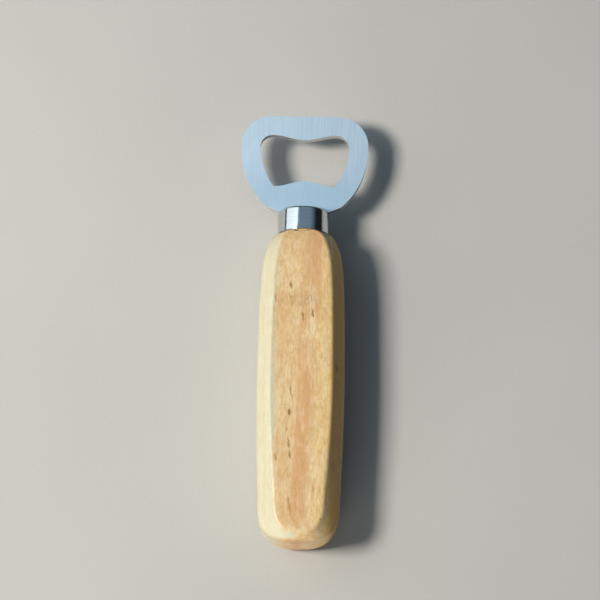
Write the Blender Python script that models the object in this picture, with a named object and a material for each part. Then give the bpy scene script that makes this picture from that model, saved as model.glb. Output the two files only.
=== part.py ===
"""Wooden-handled bottle opener: a stamped steel head whose tang is bonded into a faceted handle.

The opener lies on its handle.  +Y points along the handle to the steel head, +X is to the right,
+Z is up.  The origin is in the middle of the length and width, on the surface it lies on.
"""
import math

import bmesh
import bpy
from mathutils import Matrix, Vector

# ---------------------------------------------------------------- driving dimensions (metres)
OVERALL_LENGTH = 0.144        # butt of the handle to the far edge of the head

PLATE_THICKNESS = 0.0025      # stamped sheet of the head and tang
PLATE_EDGE_BREAK = 0.0003     # small chamfer left by deburring
HEAD_LENGTH = 0.03335         # far edge of the head to its shoulders
HEAD_WIDTH = 0.042
HEAD_CORNER_RADIUS = 0.010    # the two outer corners
HEAD_FLANK_START = 0.0117     # from the far edge to where the flanks start to draw in
HEAD_HIP_HALF_WIDTH = 0.0118  # the flanks sweep down through this place,
HEAD_HIP_RISE = 0.00135       # this far above the shoulders
SHOULDER_HALF_WIDTH = 0.0081  # middle to the tip of a shoulder
SHOULDER_SLOPE = 23.0         # degrees that the plate rises from each tip
SHOULDER_RADIUS = 0.0025      # round between the slope and the flank

OPENING_WIDTH = 0.0295        # hole that takes the crown cap
OPENING_TOP = 0.00655         # from the far edge to the hole's upper lobes
OPENING_BOTTOM = 0.0245       # from the far edge to the hole's lower lobes
OPENING_CORNER_RADIUS = 0.0042
OPENING_FLANK_START = 0.01025 # from the far edge to where the hole starts to narrow
OPENING_FLANK_RADIUS = 0.0248
OPENING_LOBE_RADIUS = 0.0012  # tight corners at the bottom of the hole
UPPER_LIP_RISE = 0.00165      # how far the upper lip hangs into the hole
LOWER_LIP_RISE = 0.0019       # how far the lower lip stands up into the hole

TANG_WIDTH = 0.0065
TANG_LENGTH = 0.03955           # from the shoulders to the tip
TANG_HOLE_DIAMETER = 0.0032   # the adhesive keys through these
TANG_HOLES = 2
TANG_HOLE_PITCH = 0.012
TANG_HOLE_FROM_TIP = 0.006
TANG_TIP_CHAMFER = 0.0012

FERRULE_DIAMETER = 0.017
FERRULE_LENGTH = 0.00805
FERRULE_WALL = 0.0008
FERRULE_EDGE_RADIUS = 0.0009  # drawn corner between the tube and its closed end
SHOULDER_SEAT = 0.00015       # the shoulders sink this far into the ferrule's closed end

HANDLE_WIDTH = 0.0284         # at the belly
HANDLE_HEIGHT = 0.022
HANDLE_BELLY = 0.0535         # from the shoulder to the widest place
NECK_TAPER = 0.00103          # half width lost from the belly to the neck
BUTT_TAPER = 0.00108          # half width lost from the belly to the start of the butt
SHOULDER_SIDE_STEP = 0.00035  # the wood stands proud of the ferrule by this at the sides
SHOULDER_TOP_STEP = 0.0008    # and by this at the top and bottom
NECK_FLARE_REACH = 0.0054     # how quickly the shoulder widens out along the handle
NECK_DROP_REACH = 0.0035      # how quickly it rises to the long flats
NECK_DROP_END = 0.01          # share of the rise at which the long flats begin
CHAMFER_WIDTH = 0.0041        # long corner facets, seen from above
CHAMFER_DROP = 0.0052         # long corner facets, seen from the end
CHAMFER_GROWTH = 0.0011       # the facets widen by this towards the butt
NECK_FACET_WIDENING = 0.0021  # near the shoulder they widen by this, so the neck is nearly round
NECK_FACET_DEEPENING = 0.0016
NECK_FACET_REACH = 0.0008
BUTT_ROUND_LENGTH = 0.013     # length of the rounded butt, seen from above
BUTT_ROUND_POWER = 2.8        # 2 is an ellipse, more is squarer
BUTT_FLAT_POWER = 2.3         # the same, for the end of the top flat
BUTT_CHAMFER_WIDTH = 0.0020
BUTT_CHAMFER_DROP = 0.0023
FACET_EDGE_SOFTENING = 0.0005

FIT_GAP = 0.0003              # clearance between touching pieces
ADHESIVE_WALL = 0.0008        # least adhesive between the tang's corners and the bore
BORE_PAST_TANG = 0.004
DRILL_POINT_HEIGHT = 0.0025

ARC_STEPS = 12
ROUND_STEPS = 48
HANDLE_STATIONS = 18
BUTT_STEPS = 14

# ---------------------------------------------------------------- derived places
HEAD_EDGE_Y = OVERALL_LENGTH / 2
BUTT_Y = -OVERALL_LENGTH / 2
AXIS_Z = HANDLE_HEIGHT / 2
SHOULDER_LINE_Y = HEAD_EDGE_Y - HEAD_LENGTH
FERRULE_FRONT_Y = SHOULDER_LINE_Y + SHOULDER_SEAT
FERRULE_REAR_Y = FERRULE_FRONT_Y - FERRULE_LENGTH
HANDLE_FRONT_Y = FERRULE_REAR_Y - FIT_GAP
HANDLE_LENGTH = HANDLE_FRONT_Y - BUTT_Y
TENON_END_Y = min(SHOULDER_LINE_Y, FERRULE_FRONT_Y - FERRULE_WALL) - FIT_GAP
TENON_RADIUS = FERRULE_DIAMETER / 2 - FERRULE_WALL - FIT_GAP
NECK_HALF_WIDTH = FERRULE_DIAMETER / 2 + SHOULDER_SIDE_STEP
NECK_HALF_HEIGHT = FERRULE_DIAMETER / 2 + SHOULDER_TOP_STEP
NECK_FLARE = HANDLE_WIDTH / 2 - NECK_TAPER - NECK_HALF_WIDTH
NECK_DROP = HANDLE_HEIGHT / 2 - NECK_HALF_HEIGHT
POCKET_HALF_WIDTH = TANG_WIDTH / 2 + FIT_GAP
POCKET_HALF_HEIGHT = PLATE_THICKNESS / 2 + FIT_GAP
ADHESIVE_RADIUS = math.hypot(POCKET_HALF_WIDTH, POCKET_HALF_HEIGHT) + ADHESIVE_WALL
BORE_RADIUS = ADHESIVE_RADIUS + FIT_GAP
TANG_TIP_Y = SHOULDER_LINE_Y - TANG_LENGTH
BORE_END_Y = TANG_TIP_Y - BORE_PAST_TANG


# ---------------------------------------------------------------- helpers
def clear_scene():
    for leftover in list(bpy.data.objects):
        bpy.data.objects.remove(leftover, do_unlink=True)


def make_material(name, colour, roughness, metallic):
    material = bpy.data.materials.new(name)
    material.use_nodes = True
    shader = material.node_tree.nodes["Principled BSDF"]
    shader.inputs["Base Color"].default_value = (*colour, 1.0)
    shader.inputs["Roughness"].default_value = roughness
    shader.inputs["Metallic"].default_value = metallic
    material.diffuse_color = (*colour, 1.0)
    return material


def add_object(name, mesh_builder, material=None, smooth_angle=None):
    """Turn a filled bmesh into an object, with outward faces."""
    bmesh.ops.recalc_face_normals(mesh_builder, faces=mesh_builder.faces[:])
    mesh = bpy.data.meshes.new(name)
    mesh_builder.to_mesh(mesh)
    mesh_builder.free()
    if material is not None:
        mesh.materials.append(material)
    if smooth_angle is not None:
        mesh.shade_smooth()
        mesh.set_sharp_from_angle(angle=math.radians(smooth_angle))
    part = bpy.data.objects.new(name, mesh)
    bpy.context.collection.objects.link(part)
    return part


def add_bevel(part, width, segments, angle):
    bevel = part.modifiers.new("soft_edges", "BEVEL")
    bevel.width = width
    bevel.segments = segments
    bevel.limit_method = "ANGLE"
    bevel.angle_limit = math.radians(angle)
    return bevel


def add_boolean(part, other, operation):
    """Cut or join with another object, which is then only a hidden helper."""
    other.hide_render = True
    other.display_type = "WIRE"
    boolean = part.modifiers.new(other.name, "BOOLEAN")
    boolean.object = other
    boolean.operation = operation
    boolean.solver = "EXACT"


def arc(centre_x, centre_y, radius, start, end, steps=ARC_STEPS):
    """Points along an arc, angles in degrees from +X towards +Y."""
    points = []
    for step in range(steps + 1):
        angle = math.radians(start + (end - start) * step / steps)
        points.append((centre_x + radius * math.cos(angle), centre_y + radius * math.sin(angle)))
    return points


def circle(centre_y, radius, steps=16):
    """A whole circle centred on the opener's axis."""
    return arc(0, centre_y, radius, 0, 360 - 360 / steps, steps - 1)


def mirrored(half):
    """Close an outline whose right half runs from the top of the axis to its bottom."""
    left = [(-x, y) for x, y in reversed(half) if abs(x) > 1e-7]
    return half + left


def turned(profile, steps=ROUND_STEPS):
    """Spin (distance along +Y, radius) points about the handle's axis into a closed solid."""
    builder = bmesh.new()
    rings = []
    for along, radius in profile:
        if radius < 1e-7:
            rings.append([builder.verts.new((0, along, AXIS_Z))])
            continue
        ring = []
        for step in range(steps):
            angle = 2 * math.pi * step / steps
            ring.append(builder.verts.new((radius * math.sin(angle), along,
                                           AXIS_Z + radius * math.cos(angle))))
        rings.append(ring)
    for first, second in zip(rings, rings[1:]):
        for step in range(steps):
            following = (step + 1) % steps
            corners = [first[step % len(first)], first[following % len(first)],
                       second[following % len(second)], second[step % len(second)]]
            builder.faces.new(list(dict.fromkeys(corners)))
    return builder


def flat_solid(outlines, centre_z, thickness):
    """Extrude an outer outline with holes to a slab centred on a height."""
    builder = bmesh.new()
    for outline in outlines:
        verts = [builder.verts.new((x, y, centre_z - thickness / 2)) for x, y in outline]
        for first, second in zip(verts, verts[1:] + verts[:1]):
            builder.edges.new((first, second))
    bmesh.ops.triangle_fill(builder, use_beauty=True, edges=builder.edges[:])
    extruded = bmesh.ops.extrude_face_region(builder, geom=builder.faces[:])
    raised = [item for item in extruded["geom"] if isinstance(item, bmesh.types.BMVert)]
    bmesh.ops.translate(builder, verts=raised, vec=Vector((0, 0, thickness)))
    return builder


def box(width, length, height, centre):
    builder = bmesh.new()
    bmesh.ops.create_cube(builder, size=1.0)
    sized = Matrix.Diagonal((width, length, height, 1))
    bmesh.ops.transform(builder, verts=builder.verts[:], matrix=Matrix.Translation(centre) @ sized)
    return builder


# ---------------------------------------------------------------- steel head with its tang
def head_outline():
    half_width = HEAD_WIDTH / 2
    half_tang = TANG_WIDTH / 2
    points = [(0, HEAD_EDGE_Y)]
    points += arc(half_width - HEAD_CORNER_RADIUS, HEAD_EDGE_Y - HEAD_CORNER_RADIUS,
                  HEAD_CORNER_RADIUS, 90, 0)
    # the flank is one arc, rounded off where it meets the slope that rises from the shoulder's tip
    flank_y = HEAD_EDGE_Y - HEAD_FLANK_START
    side = half_width - HEAD_HIP_HALF_WIDTH
    fall = flank_y - SHOULDER_LINE_Y - HEAD_HIP_RISE
    flank_radius = (side ** 2 + fall ** 2) / (2 * side)
    flank = Vector((half_width - flank_radius, flank_y))
    slope = math.radians(SHOULDER_SLOPE)
    along = Vector((math.cos(slope), math.sin(slope)))
    inward = Vector((-math.sin(slope), math.cos(slope)))
    start = Vector((SHOULDER_HALF_WIDTH, SHOULDER_LINE_Y)) + SHOULDER_RADIUS * inward - flank
    reach = flank_radius - SHOULDER_RADIUS
    run = math.sqrt(start.dot(along) ** 2 + reach ** 2 - start.dot(start)) - start.dot(along)
    turn = start + run * along
    turn_angle = math.degrees(math.atan2(turn.y, turn.x))
    points += arc(flank.x, flank.y, flank_radius, 0, turn_angle)
    centre = flank + turn
    points += arc(centre.x, centre.y, SHOULDER_RADIUS, turn_angle, SHOULDER_SLOPE - 90, 5)[1:]
    points += [(SHOULDER_HALF_WIDTH, SHOULDER_LINE_Y),
               (half_tang, SHOULDER_LINE_Y),
               (half_tang, TANG_TIP_Y + TANG_TIP_CHAMFER),
               (half_tang - TANG_TIP_CHAMFER, TANG_TIP_Y),
               (0, TANG_TIP_Y)]
    return mirrored(points)


def opening_outline():
    half_width = OPENING_WIDTH / 2
    corner_x = half_width - OPENING_CORNER_RADIUS
    points = []
    # upper lip: a wave that hangs down in the middle
    for step in range(ARC_STEPS):
        x = corner_x * step / ARC_STEPS
        hang = UPPER_LIP_RISE * (1 + math.cos(math.pi * x / corner_x)) / 2
        points.append((x, HEAD_EDGE_Y - OPENING_TOP - hang))
    points += arc(corner_x, HEAD_EDGE_Y - OPENING_TOP - OPENING_CORNER_RADIUS,
                  OPENING_CORNER_RADIUS, 90, 0)
    # flank, rounded off into the lower lobe
    flank_x = half_width - OPENING_FLANK_RADIUS
    flank_y = HEAD_EDGE_Y - OPENING_FLANK_START
    lobe_y = HEAD_EDGE_Y - OPENING_BOTTOM + OPENING_LOBE_RADIUS
    reach = OPENING_FLANK_RADIUS - OPENING_LOBE_RADIUS
    lobe_x = flank_x + math.sqrt(reach ** 2 - (lobe_y - flank_y) ** 2)
    lobe_angle = math.degrees(math.atan2(lobe_y - flank_y, lobe_x - flank_x))
    points += arc(flank_x, flank_y, OPENING_FLANK_RADIUS, 0, lobe_angle)
    points += arc(lobe_x, lobe_y, OPENING_LOBE_RADIUS, lobe_angle, -90, 8)[1:]
    # lower lip: a wave that stands up in the middle
    for step in range(1, ARC_STEPS + 1):
        x = lobe_x * (1 - step / ARC_STEPS)
        rise = LOWER_LIP_RISE * (1 - math.cos(math.pi * step / ARC_STEPS)) / 2
        points.append((x, HEAD_EDGE_Y - OPENING_BOTTOM + rise))
    return mirrored(points)


def tang_hole_places():
    first_y = TANG_TIP_Y + TANG_HOLE_FROM_TIP
    return [first_y + index * TANG_HOLE_PITCH for index in range(TANG_HOLES)]


def make_head(material):
    outlines = [head_outline(), opening_outline()]
    for hole_y in tang_hole_places():
        outlines.append(circle(hole_y, TANG_HOLE_DIAMETER / 2))
    builder = flat_solid(outlines, AXIS_Z, PLATE_THICKNESS)
    head = add_object("opener_head", builder, material, 35)
    add_bevel(head, PLATE_EDGE_BREAK, 1, 50)
    return head


# ---------------------------------------------------------------- drawn ferrule
def make_ferrule(material):
    outer = FERRULE_DIAMETER / 2
    inner = outer - FERRULE_WALL
    floor_y = FERRULE_FRONT_Y - FERRULE_WALL
    inner_edge = max(FERRULE_EDGE_RADIUS - FERRULE_WALL, FERRULE_WALL / 4)
    # closed end at the front: along the outside, then back along the inside
    profile = [(FERRULE_FRONT_Y, 0)]
    profile += [(y, r) for r, y in arc(outer - FERRULE_EDGE_RADIUS,
                                       FERRULE_FRONT_Y - FERRULE_EDGE_RADIUS,
                                       FERRULE_EDGE_RADIUS, 90, 0, 5)]
    profile += [(FERRULE_REAR_Y, outer), (FERRULE_REAR_Y, inner)]
    profile += [(y, r) for r, y in arc(inner - inner_edge, floor_y - inner_edge, inner_edge, 0, 90, 3)]
    profile += [(floor_y, 0)]
    ferrule = add_object("ferrule", turned(profile), material, 35)
    # shallow groove across the closed end that the shoulders seat in, and the tang's slot through it
    for width, depth in ((2 * FERRULE_DIAMETER, SHOULDER_SEAT + FIT_GAP),
                         (2 * POCKET_HALF_WIDTH, 2 * FERRULE_WALL)):
        slot = box(width, 2 * depth, 2 * POCKET_HALF_HEIGHT, Vector((0, FERRULE_FRONT_Y, AXIS_Z)))
        add_boolean(ferrule, add_object("plate_slot_cutter", slot), "DIFFERENCE")
    return ferrule


# ---------------------------------------------------------------- wooden handle
def side_section(from_front):
    """Half width, half height, facet width and facet drop at a distance from the shoulder."""
    butt_start = HANDLE_LENGTH - BUTT_ROUND_LENGTH
    if from_front < HANDLE_BELLY:
        loss = NECK_TAPER * (1 - from_front / HANDLE_BELLY) ** 2
        growth = 0
    else:
        share = (from_front - HANDLE_BELLY) / (butt_start - HANDLE_BELLY)
        loss = BUTT_TAPER * share ** 1.5
        growth = CHAMFER_GROWTH * share ** 1.5
    flare = math.exp(-from_front / NECK_FLARE_REACH)
    neck = math.exp(-from_front / NECK_DROP_REACH)
    rim = math.exp(-from_front / NECK_FACET_REACH)
    half_width = HANDLE_WIDTH / 2 - loss - NECK_FLARE * flare
    half_height = HANDLE_HEIGHT / 2 - NECK_DROP * max(neck - NECK_DROP_END, 0)
    facet_width = CHAMFER_WIDTH + growth + NECK_FACET_WIDENING * rim
    facet_drop = CHAMFER_DROP + NECK_FACET_DEEPENING * rim
    return half_width, half_height, facet_width, facet_drop


def superellipse(share, power):
    """Across and along shares of the rounded butt, from its tip (0) to its side (1)."""
    angle = math.pi / 2 * share
    return math.sin(angle) ** (2 / power), math.cos(angle) ** (2 / power)


def handle_rings():
    """Eight-cornered rings from the butt to the shoulder, as (wall, facet top) pairs."""
    butt_start = HANDLE_LENGTH - BUTT_ROUND_LENGTH
    half_width, half_height, facet_width, facet_drop = side_section(butt_start)
    centre_y = BUTT_Y + BUTT_ROUND_LENGTH
    rings = []
    for step in range(BUTT_STEPS):
        across, along = superellipse(step / BUTT_STEPS, BUTT_ROUND_POWER)
        drop = BUTT_CHAMFER_DROP + (facet_drop - BUTT_CHAMFER_DROP) * across ** 2
        wall = (half_width * across, centre_y - BUTT_ROUND_LENGTH * along, half_height - drop)
        across, along = superellipse(step / BUTT_STEPS, BUTT_FLAT_POWER)
        top = ((half_width - facet_width) * across,
               centre_y - (BUTT_ROUND_LENGTH - BUTT_CHAMFER_WIDTH) * along, half_height)
        rings.append((wall, top))
    for step in range(HANDLE_STATIONS + 1):
        # stations crowd together towards the shoulder, where the flare is
        from_front = butt_start * (1 - step / HANDLE_STATIONS) ** 1.7
        half_width, half_height, facet_width, facet_drop = side_section(from_front)
        y = HANDLE_FRONT_Y - from_front
        rings.append(((half_width, y, half_height - facet_drop),
                      (half_width - facet_width, y, half_height)))
    return rings


def handle_body():
    builder = bmesh.new()
    rings = []
    for wall, top in handle_rings():
        corners = [top, wall, (wall[0], wall[1], -wall[2]), (top[0], top[1], -top[2])]
        corners += [(-x, y, z) for x, y, z in reversed(corners)]
        rings.append([builder.verts.new((x, y, AXIS_Z + z)) for x, y, z in corners])
    for first, second in zip(rings, rings[1:]):
        for index in range(8):
            following = (index + 1) % 8
            builder.faces.new((first[index], first[following], second[following], second[index]))
    builder.faces.new(rings[-1])
    bmesh.ops.remove_doubles(builder, verts=builder.verts[:], dist=1e-6)
    return builder


def make_handle(material):
    handle = add_object("handle", handle_body(), material, 25)
    add_bevel(handle, FACET_EDGE_SOFTENING, 2, 25)
    # spigot that the ferrule sits on
    root_y = HANDLE_FRONT_Y - TENON_RADIUS / 2
    tenon = turned([(root_y, 0), (root_y, TENON_RADIUS), (TENON_END_Y, TENON_RADIUS), (TENON_END_Y, 0)])
    add_boolean(handle, add_object("tenon_tool", tenon), "UNION")
    # blind hole with a drill point, open at the spigot's end
    mouth_y = TENON_END_Y + FERRULE_WALL
    bore = turned([(mouth_y, 0), (mouth_y, BORE_RADIUS), (BORE_END_Y, BORE_RADIUS),
                   (BORE_END_Y - DRILL_POINT_HEIGHT, 0)])
    add_boolean(handle, add_object("bore_cutter", bore), "DIFFERENCE")
    return handle


# ---------------------------------------------------------------- cured adhesive round the tang
def make_adhesive(material):
    tip_y = BORE_END_Y - DRILL_POINT_HEIGHT + 2 * FIT_GAP
    plug = turned([(TENON_END_Y, 0), (TENON_END_Y, ADHESIVE_RADIUS),
                   (BORE_END_Y + FIT_GAP, ADHESIVE_RADIUS), (tip_y, 0)])
    adhesive = add_object("adhesive", plug, material, 35)
    # the tang's pocket, left with a pillar through each of the tang's holes
    mouth_y = TENON_END_Y + FERRULE_WALL
    end_y = TANG_TIP_Y - FIT_GAP
    pocket = [(POCKET_HALF_WIDTH, mouth_y), (POCKET_HALF_WIDTH, end_y),
              (-POCKET_HALF_WIDTH, end_y), (-POCKET_HALF_WIDTH, mouth_y)]
    pillar_radius = TANG_HOLE_DIAMETER / 2 - FIT_GAP
    outlines = [pocket]
    for hole_y in tang_hole_places():
        outlines.append(circle(hole_y, pillar_radius))
    cutter = flat_solid(outlines, AXIS_Z, 2 * POCKET_HALF_HEIGHT)
    add_boolean(adhesive, add_object("tang_pocket_cutter", cutter), "DIFFERENCE")
    return adhesive


def main():
    clear_scene()
    make_head(make_material("satin_steel", (0.62, 0.65, 0.69), 0.30, 1.0))
    make_ferrule(make_material("polished_steel", (0.70, 0.71, 0.73), 0.12, 1.0))
    make_handle(make_material("pale_hardwood", (0.74, 0.55, 0.32), 0.42, 0.0))
    make_adhesive(make_material("cured_resin", (0.72, 0.62, 0.42), 0.35, 0.0))


main()
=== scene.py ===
import math

import bmesh
import bpy
from mathutils import Euler, Matrix, Vector, noise


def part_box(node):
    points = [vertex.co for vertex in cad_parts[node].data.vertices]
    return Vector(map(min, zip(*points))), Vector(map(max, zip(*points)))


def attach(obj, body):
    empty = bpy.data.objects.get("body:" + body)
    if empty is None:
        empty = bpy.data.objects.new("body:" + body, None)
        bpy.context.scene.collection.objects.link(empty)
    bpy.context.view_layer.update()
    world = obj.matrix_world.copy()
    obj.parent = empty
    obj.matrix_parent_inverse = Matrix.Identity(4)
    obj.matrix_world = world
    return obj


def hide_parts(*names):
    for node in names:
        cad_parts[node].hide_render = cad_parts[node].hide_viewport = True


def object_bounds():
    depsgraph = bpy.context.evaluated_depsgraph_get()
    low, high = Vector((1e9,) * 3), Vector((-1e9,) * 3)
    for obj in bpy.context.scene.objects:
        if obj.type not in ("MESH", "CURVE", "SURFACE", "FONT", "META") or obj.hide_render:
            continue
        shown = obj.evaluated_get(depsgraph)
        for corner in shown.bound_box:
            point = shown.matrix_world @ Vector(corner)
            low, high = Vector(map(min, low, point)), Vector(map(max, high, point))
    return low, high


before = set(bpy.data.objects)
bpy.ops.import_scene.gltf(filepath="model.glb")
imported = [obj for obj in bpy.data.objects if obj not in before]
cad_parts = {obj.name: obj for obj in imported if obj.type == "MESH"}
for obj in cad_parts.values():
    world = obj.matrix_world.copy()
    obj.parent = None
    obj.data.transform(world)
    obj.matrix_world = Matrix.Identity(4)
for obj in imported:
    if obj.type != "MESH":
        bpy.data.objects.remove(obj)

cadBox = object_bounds()
mm = 0.001
print("frame loaded:", ", ".join(sorted(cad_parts)))


# shader helper: one output socket, with ordinary arithmetic

class Wire:
    def __init__(self, socket):
        self.socket = socket
        self.tree = socket.id_data

    # adds a node: settings first, then values or links of its sockets
    def node(self, kind, settings=None, sockets=None, output=0):
        made = self.tree.nodes.new("ShaderNode" + kind)
        for name, value in (settings or {}).items():
            setattr(made, name, value)
        for name, value in (sockets or {}).items():
            plug(self.tree, made.inputs[name], value)
        return Wire(made.outputs[output])

    def math(self, operation, first, second=0.0, third=0.0):
        return self.node("Math", {"operation": operation}, {0: first, 1: second, 2: third})

    def __add__(self, other):
        return self.math("ADD", self, other)

    def __radd__(self, other):
        return self.math("ADD", other, self)

    def __sub__(self, other):
        return self.math("SUBTRACT", self, other)

    def __rsub__(self, other):
        return self.math("SUBTRACT", other, self)

    def __mul__(self, other):
        return self.math("MULTIPLY", self, other)

    def __rmul__(self, other):
        return self.math("MULTIPLY", other, self)

    def __truediv__(self, other):
        return self.math("DIVIDE", self, other)

    def __rtruediv__(self, other):
        return self.math("DIVIDE", other, self)

    def __pow__(self, other):
        return self.math("POWER", self, other)

    def __abs__(self):
        return self.math("ABSOLUTE", self)

    # 0 at low, 1 at high, eased between; low may be above high
    def ease(self, low, high):
        settings = {"interpolation_type": "SMOOTHSTEP"}
        if low > high:
            return 1 - self.node("MapRange", settings, {"Value": self, "From Min": high, "From Max": low})
        return self.node("MapRange", settings, {"Value": self, "From Min": low, "From Max": high})

    def larger(self, other):
        return self.math("MAXIMUM", self, other)

    # colour between two colours, this value being the share of the second
    def blend(self, first, second):
        settings = {"data_type": "RGBA", "blend_type": "MIX", "clamp_factor": True}
        return self.node("Mix", settings, {0: self, 6: first, 7: second}, 2)

    # a point stretched or squeezed along each axis
    def stretched(self, x, y, z):
        return self.node("VectorMath", {"operation": "MULTIPLY"}, {0: self, 1: (x, y, z)})

    def cloud(self, scale, detail=3.0, roughness=0.55, distortion=0.0):
        sockets = {"Vector": self, "Scale": scale, "Detail": detail, "Roughness": roughness,
                   "Distortion": distortion}
        return self.node("TexNoise", {}, sockets)

    def axes(self):
        split = self.node("SeparateXYZ", {}, {0: self})
        outputs = split.socket.node.outputs
        return Wire(outputs[0]), Wire(outputs[1]), Wire(outputs[2])


def plug(tree, socket, value):
    if isinstance(value, Wire):
        tree.links.new(value.socket, socket)
    else:
        socket.default_value = value


def colour(red, green, blue):
    return (red, green, blue, 1.0)


# a new material, its shader node, and the point in millimetres on the object
def startMaterial(name):
    material = bpy.data.materials.new(name)
    material.use_nodes = True
    tree = material.node_tree
    tree.nodes.clear()
    shader = tree.nodes.new("ShaderNodeBsdfPrincipled")
    surface = tree.nodes.new("ShaderNodeOutputMaterial")
    tree.links.new(shader.outputs["BSDF"], surface.inputs["Surface"])
    coordinates = Wire(tree.nodes.new("ShaderNodeTexCoord").outputs["Object"])
    return material, shader, coordinates.stretched(1 / mm, 1 / mm, 1 / mm)


def finishShader(shader, sockets):
    for name, value in sockets.items():
        plug(shader.id_data, shader.inputs[name], value)


def bumpOf(height, strength, distance):
    return height.node("Bump", {}, {"Strength": strength, "Distance": distance, "Height": height})


# mesh helpers

def pieceFrom(builder, name, material):
    bmesh.ops.recalc_face_normals(builder, faces=builder.faces[:])
    mesh = bpy.data.meshes.new(name)
    builder.to_mesh(mesh)
    builder.free()
    mesh.materials.append(material)
    mesh.shade_smooth()
    piece = bpy.data.objects.new(name, mesh)
    bpy.context.collection.objects.link(piece)
    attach(piece, "root")
    return piece


# closed skin through rings of points; a ring of one point closes an end
def loftRings(builder, rings):
    made = [[builder.verts.new(point) for point in ring] for ring in rings]
    count = max(len(ring) for ring in made)
    for first, second in zip(made, made[1:]):
        for step in range(count):
            following = (step + 1) % count
            corners = [first[step % len(first)], first[following % len(first)],
                       second[following % len(second)], second[step % len(second)]]
            builder.faces.new(list(dict.fromkeys(corners)))


def arcPoints(centreX, centreY, radius, start, end, steps):
    points = []
    for step in range(steps + 1):
        angle = math.radians(start + (end - start) * step / steps)
        points.append((centreX + radius * math.cos(angle), centreY + radius * math.sin(angle)))
    return points


def mirroredOutline(half):
    return half + [(-x, y) for x, y in reversed(half) if abs(x) > 1e-7]


headLow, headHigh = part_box("opener_head")
ferruleLow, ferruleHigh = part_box("ferrule")
handleLow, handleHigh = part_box("handle")
axisZ = (headLow[2] + headHigh[2]) / 2       # the tool's own axis lies at this height


# steel head

head = {
    "length": 33.35 * mm, "cornerRadius": 10 * mm, "flankStart": 11.7 * mm, "flankRadius": 26.996 * mm,
    "tipX": 8.1 * mm, "tipSlope": 23.0, "tipRadius": 2.5 * mm, "edgeRadius": 0.45 * mm, "edgeSteps": 4,
    "openingWidth": 29.5 * mm, "openingTop": 6.55 * mm, "openingBottom": 24.5 * mm,
    "openingCorner": 4.2 * mm, "openingFlankStart": 10.25 * mm, "openingFlank": 24.8 * mm,
    "openingLobe": 1.2 * mm, "upperRise": 1.65 * mm, "lowerRise": 1.9 * mm,
    "tangWidth": 6.5 * mm, "tangTip": 1.2 * mm, "tangHole": 3.2 * mm, "tangHolePitch": 12 * mm,
    "tangHoleFromTip": 6 * mm, "tangHoles": 2, "holeSteps": 24, "arcSteps": 36,
    "lineDepth": 0.012 * mm, "roughness": 0.58,
}


def satinSteel():
    material, shader, place = startMaterial("satinSteel")
    x, y, z = place.axes()
    below = (headHigh[2] - axisZ) / mm - abs(z - axisZ / mm)           # depth under the nearer face
    lines = place.stretched(9.0, 0.10, 2.0).cloud(1.0, 4.0, 0.7)       # fine brush lines along the tool
    coarse = place.stretched(2.2, 0.03, 1.0).cloud(1.0, 3.0, 0.6)      # broader, longer strokes
    smudge = place.cloud(0.09, 4.0, 0.6, 0.6)                          # handling marks
    speckle = place.cloud(5.0, 2.0, 0.8)
    scratch = place.stretched(1.4, 0.02, 1.0).cloud(2.4, 2.0, 0.5).ease(0.70, 0.74)
    tone = (lines * 0.75 + coarse * 0.25).ease(0.30, 0.70)
    # painted reflection: the base is tinted pale blue, standing in for a blue sky mirrored in the steel;
    # the brush lines shift its tone
    base = tone.blend(colour(0.51, 0.66, 0.79), colour(0.68, 0.81, 0.92))
    base = (smudge.ease(0.50, 0.80) * 0.30).blend(base, colour(0.50, 0.63, 0.73))
    base = (y.ease(60, 43) * 0.55).blend(base, colour(0.40, 0.58, 0.73))
    base = (scratch * 0.35).blend(base, colour(0.78, 0.87, 0.93))
    # painted highlight: the rolled rim is painted near white, less metallic and glossier, so that it
    # shows as a bright line; the sheared wall below it is dull
    rim = below.ease(0.02, 0.10)
    wall = below.ease(0.32, 0.50)
    base = (rim * 0.85).blend(base, colour(0.90, 0.92, 0.93))
    base = (wall * 0.85).blend(base, colour(0.60, 0.595, 0.58))
    metal = 1 - (rim - wall) * 0.6
    rough = head["roughness"] + (lines - 0.5) * 0.14 + (smudge - 0.5) * 0.12 + (speckle - 0.5) * 0.05
    rough = rough - rim * 0.30 + wall * 0.14
    height = lines * 0.8 + coarse * 0.4 + speckle * 0.15 - scratch * 0.5
    finishShader(shader, {
        "Base Color": base, "Metallic": metal, "Roughness": rough,
        "Normal": bumpOf(height, 0.8, head["lineDepth"]),
    })
    return material


def headOutline():
    halfWidth = headHigh[0]
    edgeY = headHigh[1]
    shoulderY = edgeY - head["length"]
    steps = head["arcSteps"]
    corner = head["cornerRadius"]
    points = [(0, edgeY)]
    points += arcPoints(halfWidth - corner, edgeY - corner, corner, 90, 0, steps)
    # the flank is one arc, rounded off into the slope that rises from the shoulder's tip
    flank = Vector((halfWidth - head["flankRadius"], edgeY - head["flankStart"]))
    slope = math.radians(head["tipSlope"])
    along = Vector((math.cos(slope), math.sin(slope)))
    inward = Vector((-math.sin(slope), math.cos(slope)))
    start = Vector((head["tipX"], shoulderY)) + head["tipRadius"] * inward - flank
    reach = head["flankRadius"] - head["tipRadius"]
    run = math.sqrt(start.dot(along) ** 2 + reach ** 2 - start.dot(start)) - start.dot(along)
    turn = start + run * along
    turnAngle = math.degrees(math.atan2(turn.y, turn.x))
    points += arcPoints(flank.x, flank.y, head["flankRadius"], 0, turnAngle, steps)
    turnX, turnY = flank.x + turn.x, flank.y + turn.y
    points += arcPoints(turnX, turnY, head["tipRadius"], turnAngle, head["tipSlope"] - 90, 8)[1:]
    points += [(head["tipX"], shoulderY)]
    halfTang = head["tangWidth"] / 2
    tipLine = headLow[1]
    points += [(halfTang, shoulderY), (halfTang, tipLine + head["tangTip"]),
               (halfTang - head["tangTip"], tipLine), (0, tipLine)]
    return mirroredOutline(points)


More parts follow.
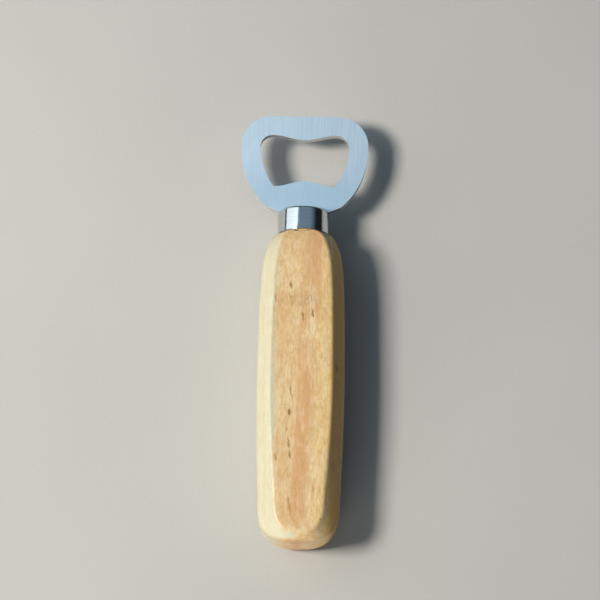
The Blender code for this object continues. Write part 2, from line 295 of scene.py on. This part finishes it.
def openingOutline():
    halfWidth = head["openingWidth"] / 2
    edgeY = headHigh[1]
    steps = head["arcSteps"]
    corner = head["openingCorner"]
    cornerX = halfWidth - corner
    topY = edgeY - head["openingTop"]
    bottomY = edgeY - head["openingBottom"]
    points = []
    for step in range(steps):                # upper lip hangs down in the middle
        x = cornerX * step / steps
        points.append((x, topY - head["upperRise"] * (1 + math.cos(math.pi * x / cornerX)) / 2))
    points += arcPoints(cornerX, topY - corner, corner, 90, 0, steps // 2)
    flankX = halfWidth - head["openingFlank"]
    flankY = edgeY - head["openingFlankStart"]
    lobeY = bottomY + head["openingLobe"]
    lobeX = flankX + math.sqrt((head["openingFlank"] - head["openingLobe"]) ** 2 - (lobeY - flankY) ** 2)
    lobeAngle = math.degrees(math.atan2(lobeY - flankY, lobeX - flankX))
    points += arcPoints(flankX, flankY, head["openingFlank"], 0, lobeAngle, steps // 2)
    points += arcPoints(lobeX, lobeY, head["openingLobe"], lobeAngle, -90, steps // 3)[1:]
    for step in range(1, steps + 1):         # lower lip stands up in the middle
        share = step / steps
        rise = head["lowerRise"] * (1 - math.cos(math.pi * share)) / 2
        points.append((lobeX * (1 - share), bottomY + rise))
    return mirroredOutline(points)


# turns a piece's modifiers into its mesh
def bakeModifiers(piece):
    bpy.context.view_layer.update()
    evaluated = piece.evaluated_get(bpy.context.evaluated_depsgraph_get())
    solved = bpy.data.meshes.new_from_object(evaluated)
    piece.modifiers.clear()
    piece.data = solved


def makeHead():
    outlines = [headOutline(), openingOutline()]
    lastAngle = 360 - 360 / head["holeSteps"]
    for index in range(head["tangHoles"]):
        holeY = headLow[1] + head["tangHoleFromTip"] + index * head["tangHolePitch"]
        outlines.append(arcPoints(0, holeY, head["tangHole"] / 2, 0, lastAngle, head["holeSteps"] - 1))
    builder = bmesh.new()
    for outline in outlines:
        corners = [builder.verts.new((x, y, headLow[2])) for x, y in outline]
        for first, second in zip(corners, corners[1:] + corners[:1]):
            builder.edges.new((first, second))
    bmesh.ops.triangle_fill(builder, use_beauty=True, edges=builder.edges[:])
    extruded = bmesh.ops.extrude_face_region(builder, geom=builder.faces[:])
    raised = [item for item in extruded["geom"] if isinstance(item, bmesh.types.BMVert)]
    bmesh.ops.translate(builder, verts=raised, vec=Vector((0, 0, headHigh[2] - headLow[2])))
    piece = pieceFrom(builder, "steelHead", satinSteel())
    bevel = piece.modifiers.new("rolledEdges", "BEVEL")
    bevel.width = head["edgeRadius"]
    bevel.segments = head["edgeSteps"]
    bevel.limit_method = "ANGLE"
    bevel.angle_limit = math.radians(50)
    bevel.use_clamp_overlap = True
    bakeModifiers(piece)
    # the bevel may swell by a few hundredths of a millimetre, so it is held inside the head's box
    for vertex in piece.data.vertices:
        vertex.co = [max(low, min(high, value)) for low, high, value in zip(headLow, headHigh, vertex.co)]
    piece.data.update()
    # the two broad faces are flat, only the rounded edges and walls are smooth
    for face in piece.data.polygons:
        face.use_smooth = abs(face.normal.z) < 0.9999
    normals = piece.modifiers.new("flatFaces", "WEIGHTED_NORMAL")
    normals.weight = 100
    normals.keep_sharp = True
    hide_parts("opener_head")
    return piece


makeHead()
print("steel head made")


# polished ferrule

ferrule = {"wall": 0.8 * mm, "edgeRadius": 0.9 * mm, "rearRoll": 0.12 * mm, "around": 160,
           "slotGap": 0.3 * mm, "groove": 0.45 * mm, "roughness": 0.13}


def polishedSteel():
    material, shader, place = startMaterial("polishedSteel")
    rings = place.stretched(0.12, 6.0, 0.12).cloud(1.0, 3.0, 0.65)     # faint lines round the tube
    smudge = place.cloud(0.35, 3.0, 0.6, 0.5)
    speckle = place.cloud(7.0, 2.0, 0.7)
    base = rings.ease(0.3, 0.7).blend(colour(0.56, 0.60, 0.63), colour(0.68, 0.71, 0.73))
    base = (smudge.ease(0.6, 0.9) * 0.3).blend(base, colour(0.46, 0.50, 0.52))
    rough = ferrule["roughness"] + (rings - 0.5) * 0.10 + (smudge - 0.5) * 0.10
    finishShader(shader, {
        "Base Color": base, "Metallic": 1.0, "Roughness": rough,
        "Normal": bumpOf(rings * 0.7 + speckle * 0.2, 0.5, 0.006 * mm),
    })
    return material


# takes a slot as thick as the plate, with its gaps, out of the ferrule's closed end
def cutSlot(piece, width, depth):
    builder = bmesh.new()
    bmesh.ops.create_cube(builder, size=1.0)
    height = headHigh[2] - headLow[2] + 2 * ferrule["slotGap"]
    sized = Matrix.Diagonal((width, 2 * depth, height, 1))
    placed = Matrix.Translation((0, ferruleHigh[1], axisZ))
    bmesh.ops.transform(builder, verts=builder.verts[:], matrix=placed @ sized)
    mesh = bpy.data.meshes.new("slotTool")
    builder.to_mesh(mesh)
    builder.free()
    tool = bpy.data.objects.new("slotTool", mesh)
    bpy.context.collection.objects.link(tool)
    cut = piece.modifiers.new("slot", "BOOLEAN")
    cut.object = tool
    cut.operation = "DIFFERENCE"
    bakeModifiers(piece)
    bpy.data.objects.remove(tool)


def makeFerrule():
    outer = (ferruleHigh[0] - ferruleLow[0]) / 2
    inner = outer - ferrule["wall"]
    rear, front = ferruleLow[1], ferruleHigh[1]
    floorY = front - ferrule["wall"]
    edge, roll = ferrule["edgeRadius"], ferrule["rearRoll"]
    inside = max(edge - ferrule["wall"], ferrule["wall"] / 4)
    profile = [(0, front)]
    profile += arcPoints(outer - edge, front - edge, edge, 90, 0, 12)
    profile += [(outer, rear + (front - edge - rear) * share) for share in (0.66, 0.33)]
    profile += arcPoints(outer - roll, rear + roll, roll, 0, -90, 4)
    profile += [(inner, rear)]
    profile += arcPoints(inner - inside, floorY - inside, inside, 0, 90, 5)
    profile += [(0, floorY)]
    builder = bmesh.new()
    rings = []
    for radius, y in profile:
        if radius < 1e-7:
            rings.append([(0, y, axisZ)])
            continue
        ring = []
        for step in range(ferrule["around"]):
            angle = 2 * math.pi * step / ferrule["around"]
            ring.append((radius * math.sin(angle), y, axisZ + radius * math.cos(angle)))
        rings.append(ring)
    loftRings(builder, rings)
    piece = pieceFrom(builder, "ferruleTube", polishedSteel())
    # shallow groove across the closed end for the shoulders, and the tang's slot through it
    cutSlot(piece, 4 * outer, ferrule["groove"])
    cutSlot(piece, head["tangWidth"] + 2 * ferrule["slotGap"], 2 * ferrule["wall"])
    piece.data.set_sharp_from_angle(angle=math.radians(35))
    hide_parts("ferrule")
    return piece


makeFerrule()
print("ferrule made")


# wooden handle

handle = {
    "belly": 53.5 * mm, "neckTaper": 1.03 * mm, "buttTaper": 1.08 * mm,
    "sideStep": 0.35 * mm, "topStep": 0.8 * mm, "flareReach": 5.4 * mm, "dropReach": 3.5 * mm,
    "facetWidth": 4.1 * mm, "facetDrop": 5.2 * mm, "facetGrowth": 1.1 * mm,
    "facetWidening": 2.1 * mm, "facetDeepening": 1.6 * mm, "facetReach": 0.8 * mm,
    "buttRound": 13 * mm, "buttPower": 2.8, "flatPower": 2.3,
    "buttFacetWidth": 2.0 * mm, "buttFacetDrop": 2.3 * mm,
    "softTop": 0.8 * mm, "softSide": 1.6 * mm, "neckRoll": 0.7 * mm,
    "fitGap": 0.3 * mm, "spigotRadius": 7.4 * mm, "spigotBreak": 0.4 * mm, "boreRadius": 4.97 * mm,
    "boreDepth": 42.9 * mm, "drillPoint": 2.5 * mm,
    "stations": 96, "buttSteps": 30, "flatSteps": 7, "softSteps": 5, "facetSteps": 4, "wallSteps": 5,
    "rollSteps": 5, "guideReach": 4 * mm, "wave": 0.10 * mm,
}


def paleWood():
    material, shader, place = startMaterial("paleWood")
    x, y, z = place.axes()
    drift = place.stretched(0.03, 0.012, 0.03).cloud(1.0, 2.0, 0.5)
    bands = place.stretched(0.55, 0.016, 0.55).cloud(1.0, 3.0, 0.55, 0.3)
    patches = place.stretched(0.20, 0.055, 0.20).cloud(1.0, 3.0, 0.6, 0.5)
    mottle = place.stretched(0.42, 0.24, 0.42).cloud(1.0, 5.0, 0.70, 1.0)
    fibres = place.stretched(2.8, 0.26, 2.8).cloud(1.0, 4.0, 0.72, 0.3)
    hairs = place.stretched(6.5, 0.55, 6.5).cloud(1.0, 2.0, 0.7)
    wisps = place.stretched(0.34, 0.20, 0.34).cloud(1.0, 5.0, 0.66, 0.9)
    # growth rings: shells about a line well below and left of the handle
    reach = ((x + 16 + drift * 10) ** 2.0 + (z + 30 + drift * 6) ** 2.0) ** 0.5
    rings = reach.math("PINGPONG", reach, 1.7) / 1.7
    # pinkish heartwood wanders down the middle, golden sapwood is on the right, and the left side gets a
    # painted sheen: a pale cream standing in for the lacquer's reflection of the light from the left
    heartCentre = 2.8 + y * 0.055 + (bands - 0.5) * 9
    heart = abs(x - heartCentre).ease(4.6, 0.5) * patches.ease(0.34, 0.56)
    sapSide = (x - y * 0.02 + (bands - 0.5) * 6).ease(3.6, 7.2)
    # mask of the painted sheen: the left facet below the top flat and the far left side, not the butt end
    leftFacet = (x - y.ease(-56, -68) * 6.5).ease(-6.2, -8.4) * z.ease(21.98, 21.7)
    paintedSheen = leftFacet.larger((x + (patches - 0.5) * 3).ease(-7.4, -9.6))
    paintedSheen = paintedSheen * y.ease(-71.9, -70.6)
    figure = 1 - paintedSheen * 0.35                                      # the figure is fainter under the painted sheen
    base = patches.ease(0.34, 0.62).blend(colour(0.765, 0.61, 0.35), colour(0.69, 0.475, 0.23))
    base = (sapSide * 0.75).blend(base, colour(0.72, 0.525, 0.22))
    base = (heart * 0.90).blend(base, colour(0.62, 0.335, 0.155))
    base = (mottle.ease(0.46, 0.60) * 0.58).blend(base, colour(0.61, 0.355, 0.14))
    base = (wisps.ease(0.45, 0.64) * (1 - heart * 0.5) * 0.50).blend(base, colour(0.77, 0.62, 0.41))
    # painted sheen: the masked left side is washed towards a pale greenish cream
    base = (paintedSheen * 0.76).blend(base, colour(0.455, 0.495, 0.38))
    # painted shade: the right facet, past 9 mm across, is painted a deeper, warmer brown, standing in for
    # how it looks in shade
    base = (x.ease(9.0, 10.5) * 0.8).blend(base, colour(0.60, 0.325, 0.072))
    base = (rings.ease(0.55, 1.0) * figure * 0.22).blend(base, colour(0.54, 0.33, 0.155))
    base = (fibres.ease(0.45, 0.68) * figure * 0.55).blend(base, colour(0.48, 0.28, 0.115))
    base = (hairs.ease(0.50, 0.72) * figure * 0.45).blend(base, colour(0.42, 0.245, 0.10))
    # a faint ripple across the grain
    ripple = abs(y - 6 + (mottle - 0.5) * 5).ease(3.2, 0.6) * abs(x + 1).ease(8, 4)
    base = (ripple * hairs.ease(0.44, 0.58) * 0.65).blend(base, colour(0.40, 0.22, 0.11))
    flecks = fleckMask(place, x, y, hairs)
    base = (flecks.ease(0.0, 0.5) * 0.45).blend(base, colour(0.50, 0.27, 0.06))
    base = (flecks.ease(0.08, 1.0) * 0.85).blend(base, colour(0.13, 0.045, 0.0))
    rough = 0.46 + (fibres - 0.5) * 0.16 + (mottle - 0.5) * 0.10
    height = fibres * 0.6 + wisps * 0.3 + hairs * 0.3
    finishShader(shader, {
        "Base Color": base, "Roughness": rough, "Coat Weight": 0.15, "Coat Roughness": 0.32,
        "Specular IOR Level": 0.38, "Normal": bumpOf(height, 0.40, 0.06 * mm),
    })
    return material


# dark flecks of the wood: (across, along, width, length, strength), in millimetres from the middle
fleckPlaces = [
    (-3.6, 24.3, 0.26, 1.4, 0.35), (-3.7, 10.8, 0.40, 1.1, 0.95), (-8.5, 6.4, 0.24, 1.2, 0.75),
    (-8.9, 2.6, 0.24, 1.1, 0.40), (0.3, 0.4, 0.40, 1.3, 0.80), (3.5, 1.4, 0.40, 1.2, 0.95),
    (2.4, -3.4, 0.30, 2.0, 0.35), (-3.2, -24.0, 0.30, 1.8, 0.75), (-2.6, -26.6, 0.24, 1.2, 0.55),
    (-3.4, -31.1, 0.40, 1.0, 1.00), (-4.2, -36.6, 0.24, 1.0, 0.55), (-3.5, -41.1, 0.28, 1.8, 0.75),
    (-3.1, -44.7, 0.30, 1.3, 0.90), (-7.5, -45.6, 0.40, 1.2, 0.65), (4.4, -56.1, 0.20, 2.4, 0.60),
    (-3.0, -60.9, 0.34, 2.8, 0.65), (-1.0, -61.4, 0.30, 1.8, 0.35), (8.6, 25.0, 0.50, 1.8, 0.55),
    (11.4, -16.0, 0.40, 1.4, 0.65), (10.8, -48.0, 0.34, 1.8, 0.45), (6.9, -65.3, 0.20, 0.22, 1.3),
]


def fleckMask(place, x, y, hairs):
    waver = place.stretched(1.3, 0.7, 1.3).cloud(1.0, 4.0, 0.65) - 0.5
    total = None
    for across, along, width, length, strength in fleckPlaces:
        dx = (x - across + (y - along) * 0.12 + waver * 1.3) / width
        dy = (y - along + waver * 0.9) / length
        fleck = (dx ** 2.0 + dy ** 2.0).ease(2.4, 0.1) * strength
        total = fleck if total is None else total.larger(fleck)
    return total * (0.72 + (hairs - 0.5) * 1.2)


def sideSection(fromFront, length):
    halfWidth = handleHigh[0]
    halfHeight = (handleHigh[2] - handleLow[2]) / 2
    ferruleRadius = (ferruleHigh[0] - ferruleLow[0]) / 2
    buttStart = length - handle["buttRound"]
    if fromFront < handle["belly"]:
        loss, growth = handle["neckTaper"] * (1 - fromFront / handle["belly"]) ** 2, 0.0
    else:
        share = (fromFront - handle["belly"]) / (buttStart - handle["belly"])
        loss, growth = handle["buttTaper"] * share ** 1.5, handle["facetGrowth"] * share ** 1.5
    flare = math.exp(-fromFront / handle["flareReach"])
    neck = math.exp(-fromFront / handle["dropReach"])
    rim = math.exp(-fromFront / handle["facetReach"])
    neckWidth = halfWidth - handle["neckTaper"] - ferruleRadius - handle["sideStep"]
    neckHeight = halfHeight - ferruleRadius - handle["topStep"]
    return (halfWidth - loss - neckWidth * flare, halfHeight - neckHeight * max(neck - 0.01, 0),
            handle["facetWidth"] + growth + handle["facetWidening"] * rim,
            handle["facetDrop"] + handle["facetDeepening"] * rim)


def superellipse(share, power):
    angle = math.pi / 2 * share
    return math.sin(angle) ** (2 / power), math.cos(angle) ** (2 / power)


# pairs of guide points from the butt to the shoulder: top of the side wall, edge of the top flat
def handleGuides(front, butt):
    length = front - butt
    buttStart = length - handle["buttRound"]
    halfWidth, halfHeight, facetWidth, facetDrop = sideSection(buttStart, length)
    centreY = butt + handle["buttRound"]
    guides = []
    for step in range(handle["buttSteps"]):
        across, along = superellipse(step / handle["buttSteps"], handle["buttPower"])
        drop = handle["buttFacetDrop"] + (facetDrop - handle["buttFacetDrop"]) * across ** 2
        wall = Vector((halfWidth * across, centreY - handle["buttRound"] * along, halfHeight - drop))
        across, along = superellipse(step / handle["buttSteps"], handle["flatPower"])
        flat = Vector(((halfWidth - facetWidth) * across,
                       centreY - (handle["buttRound"] - handle["buttFacetWidth"]) * along, halfHeight))
        guides.append((wall, flat))
    for step in range(handle["stations"] + 1):
        fromFront = buttStart * (1 - step / handle["stations"]) ** 1.5
        halfWidth, halfHeight, facetWidth, facetDrop = sideSection(fromFront, length)
        guides.append((Vector((halfWidth, front - fromFront, halfHeight - facetDrop)),
                       Vector((halfWidth - facetWidth, front - fromFront, halfHeight))))
    return guides


def softCorner(before, corner, after, reach, steps):
    toBefore, toAfter = before - corner, after - corner
    start = corner + toBefore.normalized() * min(reach, toBefore.length * 0.48)
    end = corner + toAfter.normalized() * min(reach, toAfter.length * 0.48)
    points = []
    for step in range(steps + 1):
        share = step / steps
        points.append(start * (1 - share) ** 2 + corner * 2 * share * (1 - share) + end * share ** 2)
    return points


def between(first, second, steps):
    return [first.lerp(second, step / steps) for step in range(1, steps)]


# a quarter of a ring, from the middle of the top flat down to mid height
def quarterRing(wall, flat, inward):
    inner = flat + inward
    topSoft = softCorner(inner, flat, wall, handle["softTop"], handle["softSteps"])
    foot = Vector((wall.x, wall.y, 0))
    sideSoft = softCorner(flat, wall, foot, handle["softSide"], handle["softSteps"])
    middle = Vector((0, topSoft[0].y, topSoft[0].z))
    points = [middle] + between(middle, topSoft[0], handle["flatSteps"]) + topSoft
    points += between(topSoft[-1], sideSoft[0], handle["facetSteps"]) + sideSoft
    points += between(sideSoft[-1], foot, handle["wallSteps"]) + [foot]
    return points


def wholeRing(quarter):
    lower = [Vector((p.x, p.y, -p.z)) for p in reversed(quarter[:-1])]
    right = quarter + lower
    left = [Vector((-p.x, p.y, p.z)) for p in reversed(right[1:-1])]
    return [Vector((p.x, p.y, p.z + axisZ)) for p in right + left]


def makeHandle():
    spigotEnd = handleHigh[1]
    front = ferruleLow[1] - handle["fitGap"]
    guides = handleGuides(front, handleLow[1])
    rings = []
    for index, (wall, flat) in enumerate(guides):
        following = guides[min(index + 1, len(guides) - 1)][1]
        previous = guides[max(index - 1, 0)][1]
        tangent = following - previous
        inward = Vector((-tangent.y, tangent.x, 0)).normalized() * handle["guideReach"]
        if index == 0:
            inward = Vector((0, handle["guideReach"], 0))
        rings.append(wholeRing(quarterRing(wall, flat, inward)))
    shoulder = rings[-1]
    # roll the shoulder's edge over into its flat face
    centre = Vector((0, front, axisZ))
    rings = rings[:-1]
    for step in range(1, handle["rollSteps"] + 1):
        angle = math.pi / 2 * step / handle["rollSteps"]
        inset = handle["neckRoll"] * (1 - math.cos(angle))
        sink = handle["neckRoll"] * (1 - math.sin(angle))
        ring = []
        for point in shoulder:
            radial = point - centre
            ring.append(point - radial.normalized() * inset - Vector((0, sink, 0)))
        rings.append(ring)
    # spigot with a broken edge, then the bore
    spigot, edge = handle["spigotRadius"], handle["spigotBreak"]
    for radius, y in ((spigot, front), (spigot, spigotEnd - edge), (spigot - edge, spigotEnd),
                      (handle["boreRadius"], spigotEnd),
                      (handle["boreRadius"], spigotEnd - handle["boreDepth"])):
        ring = []
        for point in shoulder:
            radial = Vector((point.x, 0, point.z - axisZ)).normalized()
            ring.append(Vector((0, y, axisZ)) + radial * radius)
        rings.append(ring)
    rings.append([Vector((0, spigotEnd - handle["boreDepth"] - handle["drillPoint"], axisZ))])
    builder = bmesh.new()
    loftRings(builder, rings)
    bmesh.ops.remove_doubles(builder, verts=builder.verts[:], dist=1e-6)
    sandByHand(builder, front)
    piece = pieceFrom(builder, "woodHandle", paleWood())
    piece.data.set_sharp_from_angle(angle=math.radians(50))
    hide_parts("handle")
    return piece


# shallow unevenness, always inwards; the flat that the opener lies on is left alone
def sandByHand(builder, front):
    bmesh.ops.recalc_face_normals(builder, faces=builder.faces[:])
    builder.normal_update()
    for vert in builder.verts:
        spot = vert.co
        if spot.y > front - 1 * mm or spot.z < handleLow[2] + 0.2 * mm:
            continue
        if Vector((spot.x, spot.z - axisZ)).length < 6.5 * mm and spot.y > handleLow[1] + 3 * mm:
            continue
        where = Vector((spot.x / (11 * mm), spot.y / (19 * mm), spot.z / (11 * mm)))
        wave = noise.noise(where + Vector((3.1, 1.7, 5.2)))
        sink = handle["wave"] * (0.5 + 0.5 * wave)
        fade = min((front - 1 * mm - spot.y) / (6 * mm), 1.0)
        vert.co = spot - vert.normal * sink * fade


makeHandle()
print("handle made")


# cured resin inside the handle

def curedResin():
    material, shader, place = startMaterial("curedResin")
    cloudy = place.cloud(0.5, 4.0, 0.6, 0.5)
    bubbles = place.cloud(3.0, 2.0, 0.7)
    base = cloudy.ease(0.3, 0.7).blend(colour(0.70, 0.56, 0.32), colour(0.80, 0.70, 0.50))
    finishShader(shader, {
        "Base Color": base, "Roughness": 0.3 + (bubbles - 0.5) * 0.2, "IOR": 1.55,
        "Normal": bumpOf(bubbles, 0.3, 0.05 * mm),
    })
    return material


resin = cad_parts["adhesive"]
resin.data.materials.clear()
resin.data.materials.append(curedResin())


# floor, lights and camera

studio = {
    "floorSize": 2.4,
    "key": {"height": 50, "turn": 7, "distance": 1.3, "size": (0.30, 0.30),
            "power": 19.0, "tint": (1.0, 0.95, 0.87)},
    "side": {"height": 34, "turn": -23, "distance": 1.1, "size": (0.80, 1.05),
             "power": 3.6, "tint": (0.88, 0.95, 1.0)},
    "front": {"height": 7, "turn": 64, "distance": 1.1, "size": (0.8, 0.24),
              "power": 7.0, "tint": (1.0, 0.93, 0.84)},
    "skyTop": colour(0.19, 0.27, 0.34), "skyRim": colour(0.015, 0.015, 0.018),
}


def makeFloor():
    material, shader, place = startMaterial("paleFloor")
    grain = place.cloud(0.8, 4.0, 0.6)
    broad = place.cloud(0.01, 2.0, 0.5)
    tone = (grain * 0.4 + broad * 0.6).ease(0.2, 0.8)
    base = tone.blend(colour(0.46, 0.45, 0.43), colour(0.50, 0.49, 0.47))
    finishShader(shader, {"Base Color": base, "Roughness": 0.85 + (grain - 0.5) * 0.1,
                          "Specular IOR Level": 0.2})
    half = studio["floorSize"] / 2
    builder = bmesh.new()
    corners = [(-half, -half), (half, -half), (half, half), (-half, half)]
    builder.faces.new([builder.verts.new((x, y, cadBox[0][2] - 0.1 * mm)) for x, y in corners])
    mesh = bpy.data.meshes.new("floor")
    builder.to_mesh(mesh)
    builder.free()
    mesh.materials.append(material)
    floor = bpy.data.objects.new("floor", mesh)
    bpy.context.collection.objects.link(floor)


# a soft light above the left side: height and turn in degrees, turn towards the butt
def makeLight(name, light):
    height, turn = math.radians(light["height"]), math.radians(light["turn"])
    direction = Vector((-math.cos(height) * math.cos(turn), -math.cos(height) * math.sin(turn),
                        math.sin(height)))
    lamp = bpy.data.lights.new(name, "AREA")
    lamp.shape = "RECTANGLE"
    lamp.size, lamp.size_y = light["size"]
    lamp.energy = light["power"]
    lamp.color = light["tint"]
    holder = bpy.data.objects.new(name, lamp)
    bpy.context.collection.objects.link(holder)
    holder.location = Vector((0, 0, axisZ)) + direction * light["distance"]
    holder.rotation_euler = direction.to_track_quat("Z", "Y").to_euler()


# the surroundings are dim, with a soft glow overhead, a little beyond the head
def makeSky():
    world = bpy.data.worlds.new("studio")
    bpy.context.scene.world = world
    world.use_nodes = True
    background = world.node_tree.nodes["Background"]
    direction = Wire(world.node_tree.nodes.new("ShaderNodeTexCoord").outputs["Generated"])
    x, y, z = direction.axes()
    sky = (y * 0.34 + z * 0.94).ease(0.55, 0.95).blend(studio["skyRim"], studio["skyTop"])
    plug(world.node_tree, background.inputs["Color"], sky)


def makeStudio():
    makeLight("keyLight", studio["key"])
    makeLight("sideLight", studio["side"])
    makeLight("frontLight", studio["front"])
    makeSky()
    bpy.context.scene.view_settings.view_transform = "Standard"


# the view is nearly straight down, tilted towards the butt
view = {"tilt": 15.8, "roll": 1.03, "distance": 756 * mm, "lens": 139.08, "sensor": 36.0,
        "aim": (-0.70 * mm, 8.90 * mm, 0.0)}


def makeCamera():
    lens = bpy.data.cameras.new("camera")
    lens.lens = view["lens"]
    lens.sensor_width = view["sensor"]
    camera = bpy.data.objects.new("camera", lens)
    bpy.context.collection.objects.link(camera)
    turn = Euler((math.radians(view["tilt"]), 0, 0)).to_matrix().to_4x4()
    roll = Matrix.Rotation(math.radians(view["roll"]), 4, "Z")
    aim = Vector(view["aim"]) + Vector((0, 0, axisZ))
    back = Matrix.Translation((0, 0, view["distance"]))
    camera.matrix_world = Matrix.Translation(aim) @ turn @ back @ roll
    bpy.context.scene.camera = camera


makeFloor()
makeStudio()
makeCamera()
print("studio made")
